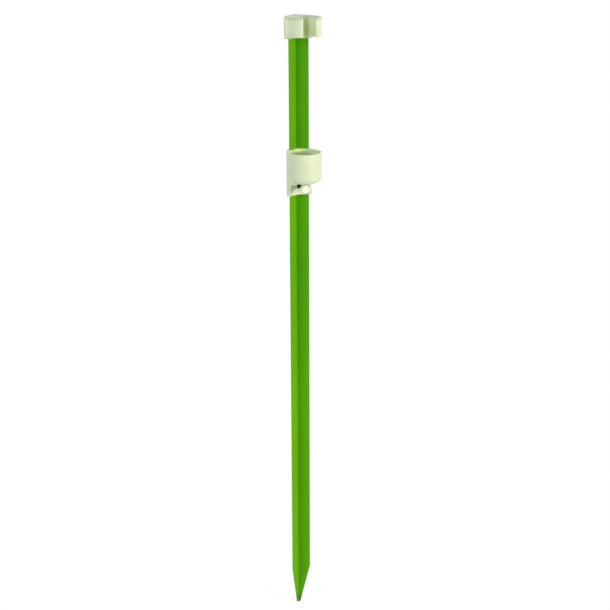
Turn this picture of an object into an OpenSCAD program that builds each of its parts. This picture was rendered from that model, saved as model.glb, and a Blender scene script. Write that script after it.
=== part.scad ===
// Beach rod-holder stake: a painted angle-section spike, a split ring rod rest
// that caps its top end, and a butt cup that slides on it and is clamped by a thumbscrew.
// The tip of the spike is the origin, Z runs up the stake, and the open side of the
// angle section, where the rod stands, faces -Y.

/* [Stake] */
// Width of each flange of the angle section, over its outside corner
flange_w = 25; // [22:0.5:30]
// Metal thickness of the flanges
flange_t = 2; // [1.5:0.1:3]
// Radius inside the fold
fold_r = 1; // [0.6:0.1:2]
// Radius on the outside corner and on the free edges of the flanges
flange_edge_r = 0.5; // [0.2:0.1:0.7]
// Length from the blunt tip to the cut top end
stake_len = 1078; // [950:1:1500]
// Length of the tapered point
point_len = 82; // [50:1:140]
// Flange width left at the blunt tip
tip_w = 5; // [4:0.5:8]

/* [Ring and cup] */
// Bore of the ring and of the cup, which the rod passes through and stands in
bore_d = 50; // [46:0.5:60]
// Wall of the ring and of the cup
shell_wall = 3.6; // [2.4:0.1:4.4]
// Least wall left between the bore and the edge of a flange
tip_wall = 2; // [1.5:0.1:4]
// Rounding of the rims
rim_r = 1; // [0.5:0.1:1.4]
// Rounding of the socket's and the sleeve's upright edges
edge_r = 2.4; // [0.6:0.1:3]
// Bevel on the sleeve's upper and lower edges and on the socket's lower edges
bevel = 0.8; // [0.3:0.1:1.2]

/* [Rod rest] */
// Height of the split ring
ring_h = 30; // [20:0.5:45]
// Rounding of the ring's upper outside edge
ring_edge_r = 2.2; // [1:0.1:2.4]
// Height of the socket that caps the stake
socket_h = 36; // [32:0.5:60]
// Wall of the socket round the flanges
socket_wall = 5.6; // [3.5:0.1:7]
// Thickness of the closed top of the socket
cap_t = 3; // [2:0.1:6]
// Bevel on the socket's upper edges
cap_bevel = 3.4; // [0.8:0.1:4]
// Width of the ring's mouth, measured at the bore
mouth_w = 20; // [12:0.5:28]
// Clearance between the socket and the stake
socket_fit = 0.15; // [0.05:0.05:0.3]

/* [Butt cup] */
// Height of the cup's rim above the tip of the stake
rim_z = 866; // [500:1:880]
// Height of the cup
cup_h = 50; // [40:0.5:80]
// Thickness of the cup's floor
floor_t = 3; // [2:0.1:6]
// Rounding of the cup's lower edge
cup_edge_r = 10; // [6:0.5:12]
// Drain hole in the cup's floor
drain_d = 8; // [4:0.5:14]
// Height of the sleeve, its top level with the rim
sleeve_h = 77; // [74:0.5:110]
// Wall of the sleeve round the flanges
sleeve_wall = 3.8; // [2.5:0.1:5]
// Sliding clearance between the sleeve and the stake
slide_fit = 0.3; // [0.2:0.05:0.5]

/* [Clamp] */
// Distance of the clamp screw's axis below the cup
clamp_drop = 12; // [11:0.5:14]
// Diameter of the clamp stud
stud_d = 6; // [5:0.5:6.5]
// Diameter of the spigot at the stud's inner end
spigot_d = 4; // [3:0.1:4.5]
// Length of that spigot
spigot_len = 2.4; // [1.5:0.1:3]
// Running clearance of the stud in its nut and in the shoe, on the radius
thread_fit = 0.05; // [0.02:0.01:0.1]
// Width across the flats of the square nut
nut_w = 10; // [9:0.5:11]
// Thickness of the square nut
nut_t = 3.2; // [2.5:0.1:5]
// Plastic left in front of the nut
nut_wall = 3; // [2.5:0.1:6]
// Diameter of the boss in front of the nut
boss_d = 14; // [12:0.5:16]
// Radial gap of the stud in the boss
boss_fit = 1.5; // [0.3:0.1:1.6]
// Travel of the clamp shoe from clamped to free
clamp_travel = 2; // [1:0.5:3]
// Thickness of the shoe behind its sloping faces
shoe_base_t = 2; // [1.5:0.1:3]
// Flat left on the shoe's nose
shoe_nose_w = 4; // [3.6:0.1:5]
// Gap of the shoe to the fold when clamped, square to the faces
shoe_gap = 0.1; // [0.05:0.05:0.2]
// Clearance of the nut and the shoe in their pocket
pocket_fit = 0.2; // [0.1:0.05:0.3]
// Free length of stud between the boss and the knob
stud_free = 17; // [10:0.5:25]
// Diameter of the knob
knob_d = 14; // [12:0.5:18]
// Length of the knob's grip
knob_len = 9; // [7:0.5:14]
// Diameter of the knob's hub
hub_d = 10; // [8.5:0.5:12]
// Length of the knob's hub
hub_len = 2.5; // [1:0.5:5]
// Number of finger flutes round the knob
flute_count = 8; // [5:1:12]
// Radius of a flute
flute_r = 1.6; // [1:0.1:2]
// Plastic left over the end of the stud in the knob
knob_end_t = 2.5; // [1.5:0.1:4]

/* [Rest screws] */
// Diameter of the screws that hold the rod rest
screw_d = 3.5; // [2.9:0.1:4.2]
// Length of those screws under the head
screw_len = 12; // [10:0.5:13]
// Diameter of the pan head
head_d = 7; // [5.5:0.1:8]
// Height of the pan head
head_h = 2.2; // [1.6:0.1:3]
// Width of one slot of the cross recess
recess_w = 0.9; // [0.6:0.1:1.2]
// Depth of the cross recess
recess_t = 1.2; // [0.8:0.1:1.5]
// Clearance of the screws in their holes, on the radius
screw_fit = 0.1; // [0.05:0.05:0.2]

/* [Hidden] */
$fn = 96;
// How far a cutting shape runs past the face that it opens
cut = 1;
// Ring and cup share one upright axis, set by the wall left at the flange edges
bore_r = bore_d / 2;
shell_r = bore_r + shell_wall;
flange_edge_x = (flange_w - flange_t) / sqrt(2);
flange_edge_y = (flange_w + flange_t) / sqrt(2);
axis_y = flange_edge_y + sqrt(pow(bore_r + tip_wall + slide_fit, 2) - pow(flange_edge_x, 2));
// Heights
top_z = stake_len + cap_t;
socket_z = top_z - socket_h;
ring_z = top_z - ring_h;
cup_z = rim_z - cup_h;
sleeve_z = rim_z - sleeve_h;
clamp_z = cup_z - clamp_drop;
rest_screw_z = (socket_z + top_z) / 2;
rest_screw_x = (flange_w + flange_t) / 2;
// The sleeve's hollow front, just inside the bore so that the cup's wall covers its edge
apron_r = bore_r - shell_wall / 6;
// Distances along the clamp axis, from the stake's outside corner towards the front
fold_f = flange_t * sqrt(2);
shoe_half = nut_w / 2;
shoe_point_f = fold_f + shoe_gap * sqrt(2);
shoe_side_f = shoe_point_f + shoe_half;
shoe_back_f = shoe_side_f + shoe_base_t;
nut_f = shoe_back_f + clamp_travel + pocket_fit;
nut_front_f = nut_f + nut_t;
boss_front_f = nut_front_f + nut_wall;
knob_f = boss_front_f + stud_free;
stud_end_f = knob_f + hub_len + knob_len - knob_end_t;
// Finish colours
paint_green = [0.38, 0.68, 0.06];
pale_plastic = [0.84, 0.89, 0.75];
white_plastic = [0.96, 0.96, 0.9];
dark_steel = [0.2, 0.2, 0.19];
bright_steel = [0.7, 0.71, 0.72];

// Turns a shape drawn with its flanges along +X and +Y so that they open towards -Y
module facing_front() {
    rotate([0, 0, -135])
        children();
}

// Draws a shape made for the flange along +X on both flanges
module both_flanges() {
    children();
    mirror([1, -1, 0])
        children();
}

// Places a shape on the shared axis of ring and cup, at a height
module on_rod_axis(z) {
    translate([0, -axis_y, z])
        children();
}

// Places a shape on the clamp axis, with its own Z pointing out of the front
module on_clamp_axis(front) {
    translate([0, -front, clamp_z])
        rotate([90, 0, 0])
            children();
}

// Rectangle with round corners, from its lower left corner
module soft_rect(w, h, r) {
    translate([r, 0])
        square([w - 2 * r, h]);
    translate([0, r])
        square([w, h - 2 * r]);
    for (x = [r, w - r], y = [r, h - r])
        translate([x, y])
            circle(r);
}

// Half section of a round body with round lower and upper edges
module round_section(r, h, low_r, high_r) {
    translate([0, low_r])
        square([r, h - low_r - high_r]);
    square([r - low_r, h - high_r]);
    translate([0, low_r])
        square([r - high_r, h - low_r]);
    translate([r - low_r, low_r])
        circle(low_r);
    translate([r - high_r, h - high_r])
        circle(high_r);
}

// Section of the angle with its outside corner at the origin
module angle_section() {
    both_flanges()
        soft_rect(flange_w, flange_t, flange_edge_r);
    fold_fillet(0);
}

// Fillet in the fold, grown by a fit; it starts inside the metal, clear of the outside corner
module fold_fillet(fit) {
    start = flange_t / 2;
    difference() {
        translate([start, start])
            square(flange_t + fold_r - start);
        translate([flange_t + fold_r, flange_t + fold_r])
            circle(fold_r - fit);
    }
}

// Room for the angle section with a clearance all round
module stake_slot(fit) {
    translate([-fit, -fit]) {
        square([flange_w + 2 * fit, flange_t + 2 * fit]);
        square([flange_t + 2 * fit, flange_w + 2 * fit]);
    }
    fold_fillet(fit);
}

// Wrap round both flanges, with the valley between them filled and its end edges bevelled
module stake_wrap(h, wall, fit, high_bevel) {
    grow = wall + fit;
    reach = flange_w + grow;
    difference() {
        linear_extrude(h) {
            both_flanges()
                translate([-grow, -grow])
                    soft_rect(reach + grow, flange_t + 2 * grow, edge_r);
            square(flange_w);
        }
        both_flanges() {
            translate([-grow - cut, -grow, 0])
                end_bevels(h, reach + grow + 2 * cut, high_bevel);
            translate([reach, -grow - cut, 0])
                rotate([0, 0, 90])
                    end_bevels(h, flange_t + 2 * grow + 2 * cut, high_bevel);
        }
    }
}

// Cutters that bevel the lower and upper edge of a wall which faces -Y
module end_bevels(h, l, high_bevel) {
    edge_bevel(l, bevel);
    translate([0, 0, h])
        edge_bevel(l, high_bevel);
}

// Cutter that bevels an edge along X by a width on both faces
module edge_bevel(l, w) {
    rotate([45, 0, 0])
        translate([0, -w / sqrt(2), -w / sqrt(2)])
            cube([l, sqrt(2) * w, sqrt(2) * w]);
}

// Bore along the rod axis, its upper edge flared, its lower end rounded by end_r
module rod_bore(depth, end_r) {
    rotate_extrude() {
        square([bore_r - end_r, depth + cut]);
        translate([0, end_r])
            square([bore_r, depth + cut - end_r]);
        if (end_r > 0)
            translate([bore_r - end_r, end_r])
                circle(end_r);
        translate([bore_r, depth - rim_r])
            difference() {
                square([rim_r, rim_r + cut]);
                translate([rim_r, 0])
                    circle(rim_r);
            }
    }
}

// Slope cut on one flange to form the point
module point_cut() {
    slope = (flange_w - tip_w) / point_len;
    translate([0, flange_t + cut, 0])
        rotate([90, 0, 0])
            linear_extrude(flange_t + 2 * cut)
                polygon([
                    [tip_w - slope * cut, -cut],
                    [flange_w + cut, -cut],
                    [flange_w + cut, point_len + cut / slope],
                ]);
}

// Places a shape on the axis of a rest screw, its own Z pointing into the flange
module on_rest_screw() {
    translate([rest_screw_x, -socket_wall - socket_fit, rest_screw_z])
        rotate([-90, 0, 0])
            children();
}

// Hole for one rest screw
module rest_screw_hole() {
    on_rest_screw()
        translate([0, 0, -cut])
            cylinder(r = screw_d / 2 + screw_fit, h = screw_len + 2 * cut);
}

module stake() {
    color(paint_green)
        facing_front()
            difference() {
                linear_extrude(stake_len)
                    angle_section();
                both_flanges()
                    point_cut();
                both_flanges()
                    rest_screw_hole();
            }
}

// Web that carries the ring's lower edge down to the socket's lower end, on both sides
module ring_web() {
    web_r = shell_r - rim_r;
    intersection() {
        on_rod_axis(socket_z)
            cylinder(r = web_r, h = ring_z + rim_r - socket_z);
        translate([-shell_r, 0, 0])
            rotate([90, 0, 90])
                linear_extrude(2 * shell_r)
                    polygon([
                        [-axis_y, ring_z],
                        [-axis_y + shell_r, socket_z],
                        [-axis_y + shell_r, ring_z + 2 * rim_r],
                        [-axis_y, ring_z + 2 * rim_r],
                    ]);
    }
}

module rod_rest() {
    mouth_angle = asin(mouth_w / bore_d);
    mouth_reach = 2 * shell_r;
    color(pale_plastic)
        difference() {
            union() {
                on_rod_axis(ring_z)
                    rotate_extrude()
                        round_section(shell_r, ring_h, rim_r, ring_edge_r);
                ring_web();
                translate([0, 0, socket_z])
                    facing_front()
                        stake_wrap(socket_h, socket_wall, socket_fit, cap_bevel);
            }
            on_rod_axis(socket_z - cut)
                rod_bore(socket_h + cut, 0);
            on_rod_axis(ring_z - cut)
                linear_extrude(ring_h + 2 * cut)
                    polygon([
                        [0, 0],
                        [-mouth_reach * sin(mouth_angle), -mouth_reach * cos(mouth_angle)],
                        [mouth_reach * sin(mouth_angle), -mouth_reach * cos(mouth_angle)],
                    ]);
            translate([0, 0, socket_z - cut])
                linear_extrude(socket_h - cap_t + cut)
                    facing_front()
                        stake_slot(socket_fit);
            facing_front()
                both_flanges()
                    rest_screw_hole();
        }
}

// Pan-head screw with a cross recess, its head below the origin and its shank along +Z
module pan_screw() {
    point_h = screw_d / 2;
    difference() {
        union() {
            translate([0, 0, -head_h])
                rotate_extrude()
                    round_section(head_d / 2, head_h, head_h / 2, head_h / 8);
            cylinder(d = screw_d, h = screw_len - point_h);
            translate([0, 0, screw_len - point_h])
                cylinder(d1 = screw_d, d2 = screw_d / 4, h = point_h);
        }
        for (turn = [0, 90])
            rotate([0, 0, turn])
                translate([-head_d / 4, -recess_w / 2, -head_h - cut])
                    cube([head_d / 2, recess_w, recess_t + cut]);
    }
}

module rest_screws() {
    color(bright_steel)
        facing_front()
            both_flanges()
                on_rest_screw()
                    pan_screw();
}

// Pocket that holds the nut and guides the shoe, open to the fold
module clamp_pocket() {
    half = nut_w / 2 + pocket_fit;
    translate([0, 0, clamp_z - half])
        linear_extrude(2 * half)
            polygon([
                [0, -fold_f],
                [half, -fold_f - half],
                [half, -nut_front_f],
                [-half, -nut_front_f],
                [-half, -fold_f - half],
            ]);
}

module butt_cup() {
    color(pale_plastic)
        difference() {
            union() {
                on_rod_axis(cup_z)
                    rotate_extrude()
                        round_section(shell_r, cup_h, cup_edge_r, rim_r);
                difference() {
                    translate([0, 0, sleeve_z])
                        facing_front()
                            stake_wrap(sleeve_h, sleeve_wall, slide_fit, bevel);
                    on_rod_axis(sleeve_z - cut)
                        cylinder(r = apron_r, h = sleeve_h + 2 * cut);
                }
                on_clamp_axis(nut_f)
                    cylinder(d = boss_d, h = boss_front_f - nut_f);
            }
            on_rod_axis(cup_z + floor_t)
                rod_bore(cup_h - floor_t, cup_edge_r - shell_wall);
            on_rod_axis(cup_z - cut)
                cylinder(d = drain_d, h = floor_t + 2 * cut);
            translate([0, 0, sleeve_z - cut])
                linear_extrude(sleeve_h + 2 * cut)
                    facing_front()
                        stake_slot(slide_fit);
            clamp_pocket();
            on_clamp_axis(nut_f)
                cylinder(r = stud_d / 2 + boss_fit, h = boss_front_f - nut_f + cut);
        }
}

module clamp_nut() {
    color(dark_steel)
        on_clamp_axis(nut_f)
            linear_extrude(nut_t)
                difference() {
                    square(nut_w, center = true);
                    circle(stud_d / 2 + thread_fit);
                }
}

module clamp_shoe() {
    nose_half = shoe_nose_w / 2;
    color(bright_steel)
        difference() {
            translate([0, 0, clamp_z - shoe_half])
                linear_extrude(2 * shoe_half)
                    polygon([
                        [-nose_half, -shoe_point_f - nose_half],
                        [nose_half, -shoe_point_f - nose_half],
                        [shoe_half, -shoe_side_f],
                        [shoe_half, -shoe_back_f],
                        [-shoe_half, -shoe_back_f],
                        [-shoe_half, -shoe_side_f],
                    ]);
            on_clamp_axis(shoe_back_f - spigot_len - pocket_fit)
                cylinder(r = spigot_d / 2 + thread_fit, h = spigot_len + pocket_fit + cut);
        }
}

module clamp_stud() {
    color(dark_steel) {
        on_clamp_axis(shoe_back_f)
            cylinder(d = stud_d, h = stud_end_f - shoe_back_f);
        on_clamp_axis(shoe_back_f - spigot_len)
            cylinder(d = spigot_d, h = spigot_len);
    }
}

module clamp_knob() {
    color(white_plastic)
        on_clamp_axis(knob_f)
            difference() {
                union() {
                    cylinder(d = hub_d, h = hub_len + knob_len / 2);
                    translate([0, 0, hub_len])
                        rotate_extrude()
                            round_section(knob_d / 2, knob_len, rim_r, 2 * rim_r);
                }
                for (turn = [0 : 360 / flute_count : 359])
                    rotate([0, 0, turn])
                        translate([knob_d / 2 + flute_r / 2, 0, hub_len - cut])
                            cylinder(r = flute_r, h = knob_len + 2 * cut);
                translate([0, 0, -cut])
                    cylinder(d = stud_d, h = stud_end_f - knob_f + cut);
            }
}

stake();
rod_rest();
rest_screws();
butt_cup();
clamp_nut();
clamp_shoe();
clamp_stud();
clamp_knob();
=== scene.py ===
"""Looks of a beach rod-holder stake: its finishes, the thread of its clamp stud and a plain studio.

All sizes are in metres, in the frame of the solids: the tip of the stake is the origin, Z runs up
the stake, and the open side of the angle section, where the rod stands, faces -Y.
"""

import functools
import logging
import math
from collections.abc import Iterable
from dataclasses import dataclass, replace
from enum import Enum

import bmesh
import bpy
from mathutils import Matrix, Vector


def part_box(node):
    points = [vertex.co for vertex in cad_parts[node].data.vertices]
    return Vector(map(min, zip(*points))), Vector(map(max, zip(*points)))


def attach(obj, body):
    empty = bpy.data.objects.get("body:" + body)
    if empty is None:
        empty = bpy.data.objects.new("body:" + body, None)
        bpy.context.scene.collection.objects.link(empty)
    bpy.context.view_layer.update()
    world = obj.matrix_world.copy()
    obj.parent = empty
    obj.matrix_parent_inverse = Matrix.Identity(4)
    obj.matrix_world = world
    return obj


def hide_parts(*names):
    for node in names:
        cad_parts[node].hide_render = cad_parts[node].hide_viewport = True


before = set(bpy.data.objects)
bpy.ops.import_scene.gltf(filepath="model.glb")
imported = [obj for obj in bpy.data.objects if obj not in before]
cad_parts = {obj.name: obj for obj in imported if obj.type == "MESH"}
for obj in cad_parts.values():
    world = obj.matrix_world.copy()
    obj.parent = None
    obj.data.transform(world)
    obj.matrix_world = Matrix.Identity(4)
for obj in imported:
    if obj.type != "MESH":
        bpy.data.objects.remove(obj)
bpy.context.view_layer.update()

LOG = logging.getLogger("rod_holder")

Triple = tuple[float, float, float]
Colour = Triple
Span = tuple[float, float]
Socket = bpy.types.NodeSocket

WHITE: Colour = (1.0, 1.0, 1.0)
RISING: Span = (0.0, 1.0)
FALLING: Span = (1.0, 0.0)
UP = Vector((0.0, 0.0, 1.0))

# Heights on the object that the finishes are measured from
STAKE_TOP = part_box("stake")[1].z
RING_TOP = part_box("rod_rest")[1].z
CLAMP_AXIS = sum(corner.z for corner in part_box("clamp_stud")) / 2

# Angle between a flange of the stake and the X axis
FLANGE_ANGLE = math.radians(45.0)


class Body(Enum):
    """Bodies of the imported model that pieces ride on."""

    STAKE = "stake"
    CARRIAGE = "carriage"
    SHOE = "shoe"
    SCREW = "screw"


class Slot(Enum):
    """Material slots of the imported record."""

    GREEN_PAINT = "green_paint"
    PALE_PLASTIC = "pale_plastic"
    WHITE_PLASTIC = "white_plastic"
    DARK_STEEL = "dark_steel"
    ZINC_STEEL = "zinc_steel"


@dataclass(frozen=True)
class Pattern:
    """Cloudy pattern on Object coordinates.

    Attributes:
        scale: Cells per metre.
        detail: Octaves of finer cloud.
        span: Values between which it goes from none to all.
        draw: Factors on the three axes, below 1 for a pattern drawn out along one.
        height: Height of its relief, where it has one.
    """

    scale: float
    detail: float
    span: Span = (0.3, 0.7)
    draw: Triple = (1.0, 1.0, 1.0)
    height: float = 0.0


class NodeGraph:
    """Node tree, with short calls that add nodes and link them."""

    # Places of the Mix node's colour sockets, since several sockets share a name
    MIX_SHARE, MIX_FIRST, MIX_SECOND, MIX_RESULT = 0, 6, 7, 2

    def __init__(self, tree: bpy.types.NodeTree) -> None:
        """Takes hold of a node tree."""
        self.tree = tree

    def add(self, kind: str, inputs: dict[str, object] | None = None) -> bpy.types.Node:
        """Adds a node.

        Args:
            kind: Type of the node.
            inputs: What goes into its named inputs, a socket or a plain value each.

        Returns:
            The new node.
        """
        node = self.tree.nodes.new(kind)
        for name, value in (inputs or {}).items():
            self.feed(node.inputs[name], value)
        return node

    def feed(self, target: Socket, value: object) -> None:
        """Links a socket to an input, or sets the input to a plain value.

        Args:
            target: The input.
            value: A socket, a number or a tuple of numbers.
        """
        if isinstance(value, Socket):
            self.tree.links.new(value, target)
        elif isinstance(value, tuple) and target.type == "RGBA":
            target.default_value = (*value, 1.0)
        else:
            target.default_value = value

    def calc(self, operation: str, *values: Socket | float) -> Socket:
        """Works out one value from one or two others.

        Args:
            operation: What is done to them.
            values: The values, a socket or a number each.

        Returns:
            The result.
        """
        node = self.add("ShaderNodeMath")
        node.operation = operation
        for target, value in zip(node.inputs, values):
            self.feed(target, value)
        return node.outputs[0]

    def join(self, operation: str, values: Iterable[Socket]) -> Socket:
        """Joins any number of values into one, two at a time."""
        return functools.reduce(functools.partial(self.calc, operation), values)

    def mix(self, share: Socket, first: Colour | Socket, second: Colour | Socket) -> Socket:
        """Mixes two colours.

        Args:
            share: Share of the second colour.
            first: The first colour.
            second: The second colour.

        Returns:
            The mixed colour.
        """
        node = self.add("ShaderNodeMix")
        node.data_type = "RGBA"
        self.feed(node.inputs[self.MIX_SHARE], share)
        self.feed(node.inputs[self.MIX_FIRST], first)
        self.feed(node.inputs[self.MIX_SECOND], second)
        return node.outputs[self.MIX_RESULT]

    def seen_rays(self) -> Socket:
        """Tells rays that see a surface from rays that light it.

        Returns:
            1 for camera, glossy and transmission rays, and 0 for the others.
        """
        path = self.add("ShaderNodeLightPath")
        names = ("Is Camera Ray", "Is Glossy Ray", "Is Transmission Ray")
        return self.join("MAXIMUM", [path.outputs[name] for name in names])


class ShaderGraph(NodeGraph):
    """Node tree of one material, built round its Principled shader."""

    EDGE_SAMPLES = 6

    def __init__(self, name: str) -> None:
        """Starts a material with its Object coordinates at hand.

        Args:
            name: Name of the material.
        """
        self.material = bpy.data.materials.new(name)
        self.material.use_nodes = True
        super().__init__(self.material.node_tree)
        self.shader = self.tree.nodes["Principled BSDF"]
        self.place = self.add("ShaderNodeTexCoord").outputs["Object"]

    def axis(self, letter: str) -> Socket:
        """One Object coordinate, by its letter."""
        return self.add("ShaderNodeSeparateXYZ", {"Vector": self.place}).outputs[letter]

    def noise(self, pattern: Pattern) -> Socket:
        """Makes a cloudy pattern.

        Args:
            pattern: What it is like.

        Returns:
            The pattern, about 0 to 1.
        """
        place = self.add("ShaderNodeMapping", {"Vector": self.place, "Scale": pattern.draw})
        cloud = self.add(
            "ShaderNodeTexNoise",
            {"Vector": place.outputs["Vector"], "Scale": pattern.scale, "Detail": pattern.detail},
        )
        return cloud.outputs[0]

    def remap(self, value: Socket, source: Span, target: Span) -> Socket:
        """Maps a span of values smoothly to another span.

        Args:
            value: The value to map.
            source: Where the span starts and ends.
            target: What it becomes there.

        Returns:
            The mapped value.
        """
        node = self.add(
            "ShaderNodeMapRange",
            {
                "Value": value,
                "From Min": source[0],
                "From Max": source[1],
                "To Min": target[0],
                "To Max": target[1],
            },
        )
        node.interpolation_type = "SMOOTHSTEP"
        return node.outputs["Result"]

    def spread(self, pattern: Pattern, target: Span) -> Socket:
        """A cloudy pattern whose own span of values is mapped to another."""
        return self.remap(self.noise(pattern), pattern.span, target)

    def relief(self, layers: Iterable[Pattern], edge_r: float) -> None:
        """Gives the surface its softened edges and its fine relief.

        Args:
            layers: Patterns, each with its height.
            edge_r: Radius to which sharp edges look rounded.
        """
        edges = self.add("ShaderNodeBevel", {"Radius": edge_r})
        edges.samples = self.EDGE_SAMPLES
        normal = edges.outputs["Normal"]
        for layer in layers:
            bump = self.add(
                "ShaderNodeBump",
                {"Height": self.noise(layer), "Distance": layer.height, "Normal": normal},
            )
            normal = bump.outputs["Normal"]
        self.feed(self.shader.inputs["Normal"], normal)

    def set_shader(self, **values: object) -> None:
        """Sets inputs of the Principled shader.

        Args:
            values: Inputs by name, in small letters with _ for a space.
        """
        names = {name.lower().replace(" ", "_"): name for name in self.shader.inputs.keys()}
        for key, value in values.items():
            self.feed(self.shader.inputs[names[key]], value)


def above(level: float, span: Span) -> Span:
    """The heights of a span that is measured from a level."""
    return (level + span[0], level + span[1])


@dataclass(frozen=True)
class PaintFinish:
    """Grass-green paint on a rolled steel angle, darkened at the point by painted shade."""

    slot: Slot = Slot.GREEN_PAINT
    colour: Colour = (0.11, 0.44, 0.001)
    deep_colour: Colour = (0.088, 0.4, 0.001)
    clouds: Pattern = Pattern(14.0, 4.0, span=(0.35, 0.65), draw=(1.0, 1.0, 0.25))
    # Painted shade at the point: its colour, reach up from the tip, strength and patches
    tip_shade_colour: Colour = (0.04, 0.11, 0.02)
    tip_shade_reach: Span = (0.002, 0.026)
    tip_shade_share: float = 0.8
    tip_shade_patches: Pattern = Pattern(260.0, 4.0, span=(0.3, 0.6))
    tip_shade_cover: Span = (0.4, 1.0)
    peel: Pattern = Pattern(900.0, 1.0, height=0.00003)
    specks: Pattern = Pattern(2600.0, 2.0, height=0.00001)
    roughness: Span = (0.4, 0.52)
    specular: float = 0.08
    sheen: float = 0.45
    sheen_soft: float = 0.5
    sheen_colour: Colour = (1.0, 0.55, 0.08)
    edge_r: float = 0.0004

    def build(self) -> bpy.types.Material:
        """Builds the material.

        Returns:
            The material.
        """
        graph = ShaderGraph(self.slot.value)
        paint = graph.mix(graph.spread(self.clouds, RISING), self.colour, self.deep_colour)
        graph.set_shader(
            # Painted shade darkens the paint towards the tip
            base_color=graph.mix(self.painted_tip_shade(graph), paint, self.tip_shade_colour),
            roughness=graph.spread(self.peel, self.roughness),
            specular_ior_level=self.specular,
            sheen_weight=self.sheen,
            sheen_roughness=self.sheen_soft,
            sheen_tint=self.sheen_colour,
        )
        graph.relief((self.peel, self.specks), self.edge_r)
        return graph.material

    def painted_tip_shade(self, graph: ShaderGraph) -> Socket:
        """Finds where shade is painted onto the point, so that the paint darkens towards the tip.

        Args:
            graph: Graph of the material.

        Returns:
            Share of painted shade, largest at the tip and patchy.
        """
        low = graph.remap(graph.axis("Z"), self.tip_shade_reach, (self.tip_shade_share, 0.0))
        return graph.calc("MULTIPLY", low, graph.spread(self.tip_shade_patches, self.tip_shade_cover))


@dataclass(frozen=True)
class MouldedFinish:
    """Moulded plastic, slightly translucent, with green light through it and shade painted in where the
    stake lies behind.
    """

    slot: Slot
    colour: Colour
    # tint: green painted in as light through the plastic and shade, also the colour the clouds drift to
    tint: Colour
    scatter_depth: float
    scatter: float = 1.0
    scatter_r: Triple = (0.9, 0.85, 0.65)
    edge_r: float = 0.0006
    roughness: Span = (0.36, 0.48)
    specular: float = 0.35
    clouds: Pattern = Pattern(45.0, 3.0)
    cloud_share: float = 0.12
    waves: Pattern = Pattern(110.0, 1.0, height=0.00012)
    grain: Pattern = Pattern(2400.0, 2.0, height=0.00002)

    # Where green light through the plastic and shade are painted in, the last two measured from the
    # stake's top and the clamp's axis
    tint_side: Span = (0.012, 0.0195)
    tint_front: Span = (0.0, 0.002)
    tint_reach: Span = (-0.04, -0.03)
    tint_top: Span = (-0.0025, 0.001)
    tint_low: Span = (0.002, 0.016)

    # Painted shade on the upper edge of the ring, measured from its top
    rim_shade_colour: Colour = (0.46, 0.48, 0.46)
    rim_shade_reach: Span = (-0.0055, -0.001)
    rim_shade_share: float = 0.95
    rim_shade_patches: Pattern = Pattern(110.0, 3.0, span=(0.3, 0.6))
    rim_shade_cover: Span = (0.7, 1.0)

    def build(self) -> bpy.types.Material:
        """Builds the material.

        Returns:
            The material.
        """
        graph = ShaderGraph(self.slot.value)
        # Green light through the plastic and shade in the valley are painted in here
        see_through_painted = graph.mix(self.painted_see_through(graph), self.colour, self.tint)
        # Painted shade greys the upper edge of the ring
        rim_shaded = graph.mix(self.painted_rim_shade(graph), see_through_painted, self.rim_shade_colour)
        clouds = graph.spread(self.clouds, (0.0, self.cloud_share))
        graph.set_shader(
            base_color=graph.mix(clouds, rim_shaded, self.tint),
            roughness=graph.spread(self.grain, self.roughness),
            specular_ior_level=self.specular,
            subsurface_weight=self.scatter,
            subsurface_radius=self.scatter_r,
            subsurface_scale=self.scatter_depth,
        )
        graph.relief((self.waves, self.grain), self.edge_r)
        return graph.material

    def painted_rim_shade(self, graph: ShaderGraph) -> Socket:
        """Finds the upper edge of the ring, where shade is painted in as grey.

        Args:
            graph: Graph of the material.

        Returns:
            Share of grey, largest at the top of the ring and patchy.
        """
        high = graph.remap(graph.axis("Z"), above(RING_TOP, self.rim_shade_reach), (0.0, self.rim_shade_share))
        return graph.calc("MULTIPLY", high, graph.spread(self.rim_shade_patches, self.rim_shade_cover))

    def painted_see_through(self, graph: ShaderGraph) -> Socket:
        """Finds where the plastic fills the valley of the stake, where green light through it and shade
        are painted in.

        Args:
            graph: Graph of the material.

        Returns:
            1 in the middle of the valley, and 0 outside it, above the stake's top end and at the clamp.
        """
        side = graph.calc("ABSOLUTE", graph.axis("X"))
        back = graph.axis("Y")
        height = graph.axis("Z")
        depth = graph.calc("MULTIPLY", graph.calc("ADD", side, back), -math.cos(FLANGE_ANGLE))
        masks = (
            graph.remap(side, self.tint_side, FALLING),
            graph.remap(depth, self.tint_front, RISING),
            graph.remap(back, self.tint_reach, RISING),
            graph.remap(height, above(STAKE_TOP, self.tint_top), FALLING),
            graph.remap(height, above(CLAMP_AXIS, self.tint_low), RISING),
        )
        return graph.join("MULTIPLY", masks)


@dataclass(frozen=True)
class SteelFinish:
    """Plated or blackened steel with faint patches in its coat."""

    slot: Slot
    colour: Colour
    patch_colour: Colour
    roughness: Span
    patches: Pattern = Pattern(420.0, 4.0, span=(0.35, 0.65))
    grain: Pattern = Pattern(5200.0, 2.0, height=0.000008)
    edge_r: float = 0.00015

    def build(self) -> bpy.types.Material:
        """Builds the material.

        Returns:
            The material.
        """
        graph = ShaderGraph(self.slot.value)
        patch = graph.spread(self.patches, RISING)
        graph.set_shader(
            base_color=graph.mix(patch, self.colour, self.patch_colour),
            roughness=graph.remap(patch, RISING, self.roughness),
            metallic=1.0,
        )
        graph.relief((self.grain,), self.edge_r)
        return graph.material


def dress(node: str, body: Body, material: bpy.types.Material) -> None:
    """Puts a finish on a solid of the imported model.

    Args:
        node: Name of the solid.
        body: Body that it is part of.
        material: The finish.
    """
    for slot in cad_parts[node].material_slots:
        slot.material = material
    LOG.info("%s of body %s wears %s", node, body.value, material.name)


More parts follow.
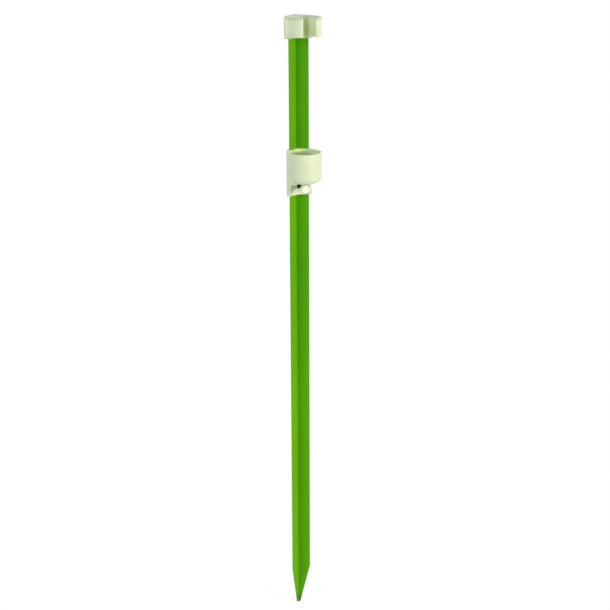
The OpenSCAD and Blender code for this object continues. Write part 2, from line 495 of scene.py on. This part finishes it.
def piece_from(mesh: bmesh.types.BMesh, name: str, material: bpy.types.Material) -> bpy.types.Object:
    """Makes a piece of a finished mesh.

    Args:
        mesh: The mesh, which is freed.
        name: Name of the piece.
        material: Its finish.

    Returns:
        The piece, at the origin.
    """
    data = bpy.data.meshes.new(name)
    mesh.to_mesh(data)
    mesh.free()
    data.materials.append(material)
    piece = bpy.data.objects.new(name, data)
    bpy.context.scene.collection.objects.link(piece)
    LOG.info("%s has %d faces", name, len(data.polygons))
    return piece


def profile_line(mesh: bmesh.types.BMesh, profile: Iterable[Span]) -> list[object]:
    """Draws an open line beside the Z axis, for a spin to turn into a surface.

    Args:
        mesh: Mesh that takes the line.
        profile: Radius and height of each point.

    Returns:
        Its points and edges.
    """
    points = [mesh.verts.new((radius, 0.0, height)) for radius, height in profile]
    edges = [mesh.edges.new(pair) for pair in zip(points, points[1:])]
    return points + edges


@dataclass
class StakeWithRest:
    """The painted stake, the split ring on its top end and the screws that hold it."""

    paint: PaintFinish
    plastic: MouldedFinish
    zinc: SteelFinish

    def build(self) -> None:
        """Dresses the three solids of the stake's body."""
        dress("stake", Body.STAKE, self.paint.build())
        dress("rod_rest", Body.STAKE, self.plastic.build())
        dress("rest_screws", Body.STAKE, self.zinc.build())


@dataclass
class CupCarriage:
    """The butt cup on its sleeve, with the nut that its clamp runs in."""

    plastic: MouldedFinish
    dark: SteelFinish

    def build(self) -> None:
        """Dresses the two solids of the sliding body."""
        dress("butt_cup", Body.CARRIAGE, self.plastic.build())
        dress("clamp_nut", Body.CARRIAGE, self.dark.build())


@dataclass
class ClampScrew:
    """The thumbscrew: shoe, threaded stud and knob."""

    knob_plastic: MouldedFinish
    dark: SteelFinish
    zinc: SteelFinish
    pitch: float = 0.001
    turn_steps: int = 32
    spare_turns: int = 2
    spigot_r: float = 0.002
    spigot_len: float = 0.0024
    spigot_steps: int = 48
    chamfer: float = 0.0003
    weld: float = 0.000001

    # Thread form of a metric screw, as shares of the pitch
    DEPTH = 0.6134
    ROOT_FLAT = 0.25
    CREST_FLAT = 0.125

    def build(self) -> None:
        """Dresses the shoe and the knob, and puts a threaded stud in place of the plain one."""
        dress("clamp_shoe", Body.SHOE, self.zinc.build())
        dress("clamp_knob", Body.SCREW, self.knob_plastic.build())
        stud = piece_from(self.stud_mesh(), "threaded_stud", self.dark.build())
        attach(stud, Body.SCREW.value)
        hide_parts("clamp_stud")

    def stud_mesh(self) -> bmesh.types.BMesh:
        """Models the stud along the Z axis and lays it into the clamp.

        Returns:
            The stud's mesh, in place.
        """
        low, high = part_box("clamp_stud")
        mesh = bmesh.new()
        self.add_thread(mesh, (high.x - low.x) / 2, high.y - low.y - self.spigot_len)
        self.add_spigot(mesh)
        bmesh.ops.recalc_face_normals(mesh, faces=mesh.faces)
        shoulder = Vector((0.0, high.y - self.spigot_len, CLAMP_AXIS))
        lay = Matrix.Translation(shoulder) @ Matrix.Rotation(math.radians(90.0), 4, "X")
        bmesh.ops.transform(mesh, matrix=lay, verts=mesh.verts)
        return mesh

    def add_thread(self, mesh: bmesh.types.BMesh, radius: float, length: float) -> None:
        """Winds one pitch of the thread's profile up the Z axis, trims both ends and closes them.

        Args:
            mesh: Mesh that takes the thread.
            radius: Outside radius of the thread.
            length: Length from 0 up the Z axis.
        """
        flank = (1.0 - self.ROOT_FLAT - self.CREST_FLAT) / 2
        root = radius - self.DEPTH * self.pitch
        radii = (root, root, radius, radius, root)
        shares = (0.0, self.ROOT_FLAT, self.ROOT_FLAT + flank, 1.0 - flank, 1.0)
        heights = [(share - 1.0) * self.pitch for share in shares]
        turns = math.ceil(length / self.pitch) + self.spare_turns
        bmesh.ops.spin(
            mesh,
            geom=profile_line(mesh, zip(radii, heights)),
            axis=UP,
            dvec=UP * (self.pitch / self.turn_steps),
            angle=math.tau * turns,
            steps=self.turn_steps * turns,
        )
        bmesh.ops.remove_doubles(mesh, verts=mesh.verts, dist=self.weld)
        for height, outwards in ((0.0, -UP), (length, UP)):
            bmesh.ops.bisect_plane(
                mesh,
                geom=mesh.verts[:] + mesh.edges[:] + mesh.faces[:],
                dist=self.weld,
                plane_co=UP * height,
                plane_no=outwards,
                clear_outer=True,
            )
            bmesh.ops.holes_fill(mesh, edges=[edge for edge in mesh.edges if edge.is_boundary])

    def add_spigot(self, mesh: bmesh.types.BMesh) -> None:
        """Turns the plain spigot below the thread.

        Args:
            mesh: Mesh that takes the spigot.
        """
        profile = (
            (0.0, self.chamfer),
            (self.spigot_r, self.chamfer),
            (self.spigot_r, self.chamfer - self.spigot_len),
            (self.spigot_r - self.chamfer, -self.spigot_len),
            (0.0, -self.spigot_len),
        )
        bmesh.ops.spin(
            mesh,
            geom=profile_line(mesh, profile),
            axis=UP,
            angle=math.tau,
            steps=self.spigot_steps,
            use_merge=True,
        )
        bmesh.ops.remove_doubles(mesh, verts=mesh.verts, dist=self.weld)


def direction(azimuth_deg: float, elevation_deg: float) -> Vector:
    """Unit vector from the object towards a viewer or a lamp.

    Args:
        azimuth_deg: Angle round the object, 0 at -Y and 90 at +X.
        elevation_deg: Angle above the horizon.

    Returns:
        The vector.
    """
    turn, rise = math.radians(azimuth_deg), math.radians(elevation_deg)
    return Vector((math.sin(turn) * math.cos(rise), -math.cos(turn) * math.cos(rise), math.sin(rise)))


@dataclass(frozen=True)
class Lamp:
    """Broad soft lamp, far from the object.

    Attributes:
        name: Name of the lamp.
        strength: Its strength.
        colour: Its colour.
        angle_deg: How broad it looks from the object.
        azimuth_deg: Angle round the object, 0 at -Y and 90 at +X.
        elevation_deg: Angle above the horizon.
    """

    name: str
    strength: float
    colour: Colour
    angle_deg: float
    azimuth_deg: float
    elevation_deg: float

    def build(self) -> None:
        """Hangs the lamp and turns it towards the object."""
        lamp = bpy.data.lights.new(self.name, "SUN")
        lamp.energy = self.strength
        lamp.color = self.colour
        lamp.angle = math.radians(self.angle_deg)
        holder = bpy.data.objects.new(self.name, lamp)
        holder.rotation_mode = "QUATERNION"
        back = direction(self.azimuth_deg, self.elevation_deg)
        holder.rotation_quaternion = (-back).to_track_quat("-Z", "Y")
        bpy.context.scene.collection.objects.link(holder)


@dataclass
class Studio:
    """White floor, even sky, a warm key lamp from the right and a cool fill lamp from the left."""

    floor_half: float = 40.0
    floor_albedo: float = 0.92
    floor_glow: float = 0.6
    glow_strength: float = 1.335
    horizon: float = 0.7
    zenith: float = 0.34
    sky_colour: Colour = (0.92, 1.0, 0.98)
    key: Lamp = Lamp(
        "key",
        strength=1.9,
        colour=(1.0, 0.94, 0.82),
        angle_deg=8.0,
        azimuth_deg=36.0,
        elevation_deg=6.0,
    )
    fill: Lamp = Lamp(
        "fill",
        strength=0.85,
        colour=(0.92, 1.0, 0.98),
        angle_deg=40.0,
        azimuth_deg=-65.0,
        elevation_deg=12.0,
    )

    def build(self) -> None:
        """Makes the floor, the sky and the two lamps."""
        bpy.context.scene.view_settings.view_transform = "Standard"
        self.add_floor()
        self.add_sky()
        self.key.build()
        self.fill.build()

    def add_floor(self) -> None:
        """Lays a floor that looks white and keeps the object's shadow."""
        mesh = bmesh.new()
        bmesh.ops.create_grid(mesh, x_segments=1, y_segments=1, size=self.floor_half)
        material = bpy.data.materials.new("floor_white")
        material.use_nodes = True
        graph = NodeGraph(material.node_tree)
        graph.tree.nodes.clear()
        matte = graph.add("ShaderNodeBsdfDiffuse", {"Color": (self.floor_albedo,) * 3})
        glow = graph.add("ShaderNodeEmission", {"Color": WHITE, "Strength": self.glow_strength})
        share = graph.calc("MULTIPLY", graph.seen_rays(), self.floor_glow)
        blend = graph.add("ShaderNodeMixShader", {"Fac": share})
        for target, source in zip(blend.inputs[1:], (matte, glow)):
            graph.feed(target, source.outputs[0])
        graph.add("ShaderNodeOutputMaterial", {"Surface": blend.outputs[0]})
        piece_from(mesh, "floor", material)

    def add_sky(self) -> None:
        """Lights the object evenly, and shows plain white to the camera and in reflections."""
        world = bpy.data.worlds.new("sky")
        bpy.context.scene.world = world
        world.use_nodes = True
        graph = NodeGraph(world.node_tree)
        place = graph.add("ShaderNodeTexCoord").outputs["Generated"]
        height = graph.add("ShaderNodeSeparateXYZ", {"Vector": place}).outputs["Z"]
        light = graph.mix(height, self.sky_at(self.horizon), self.sky_at(self.zenith))
        seen = graph.mix(graph.seen_rays(), light, WHITE)
        graph.feed(graph.tree.nodes["Background"].inputs["Color"], seen)

    def sky_at(self, level: float) -> Colour:
        """The sky's colour at a level of light."""
        return tuple(level * part for part in self.sky_colour)


@dataclass
class PhotoCamera:
    """Camera at the photograph's place, for a square image."""

    azimuth_deg: float = -21.119
    elevation_deg: float = 18.891
    roll_deg: float = -0.22
    distance: float = 2.0785
    target_z: float = 0.5895
    aim_right: float = 0.01524
    lens: float = 70.82
    clip_end: float = 200.0

    def build(self) -> None:
        """Makes the camera and hands it to the scene."""
        data = bpy.data.cameras.new("camera")
        data.lens = self.lens
        data.clip_end = self.clip_end
        camera = bpy.data.objects.new("camera", data)
        target = UP * self.target_z
        back = direction(self.azimuth_deg, self.elevation_deg)
        place = target + back * self.distance
        aim = target + UP.cross(back).normalized() * self.aim_right
        look = (aim - place).to_track_quat("-Z", "Y")
        roll = Matrix.Rotation(math.radians(self.roll_deg), 3, "Z").to_quaternion()
        camera.location = place
        camera.rotation_mode = "QUATERNION"
        camera.rotation_quaternion = look @ roll
        bpy.context.scene.collection.objects.link(camera)
        bpy.context.scene.camera = camera


def main() -> None:
    """Builds the camera, the sub-assemblies and the studio in order."""
    logging.basicConfig(level=logging.INFO, format="%(name)s: %(message)s")
    ring_plastic = MouldedFinish(
        Slot.PALE_PLASTIC,
        colour=(0.765, 0.81, 0.61),
        # The tint is green painted in as light through the plastic and shade in the valley, and the
        # clouds' colour
        tint=(0.82, 0.99, 0.36),
        scatter_depth=0.014,
        edge_r=0.0018,
    )
    cup_plastic = replace(
        ring_plastic,
        colour=(0.755, 0.79, 0.61),
        tint=(0.82, 0.99, 0.46),
        scatter_depth=0.007,
    )
    white_plastic = MouldedFinish(
        Slot.WHITE_PLASTIC,
        colour=(0.96, 0.94, 0.79),
        tint=(0.94, 0.92, 0.75),
        scatter_depth=0.003,
        roughness=(0.26, 0.36),
    )
    dark = SteelFinish(
        Slot.DARK_STEEL,
        colour=(0.055, 0.044, 0.026),
        patch_colour=(0.034, 0.026, 0.015),
        roughness=(0.38, 0.55),
    )
    zinc = SteelFinish(
        Slot.ZINC_STEEL,
        colour=(0.62, 0.63, 0.64),
        patch_colour=(0.5, 0.52, 0.53),
        roughness=(0.24, 0.4),
    )
    PhotoCamera().build()
    StakeWithRest(PaintFinish(), ring_plastic, zinc).build()
    CupCarriage(cup_plastic, dark).build()
    ClampScrew(white_plastic, dark, zinc).build()
    Studio().build()


if __name__ == "__main__":
    main()
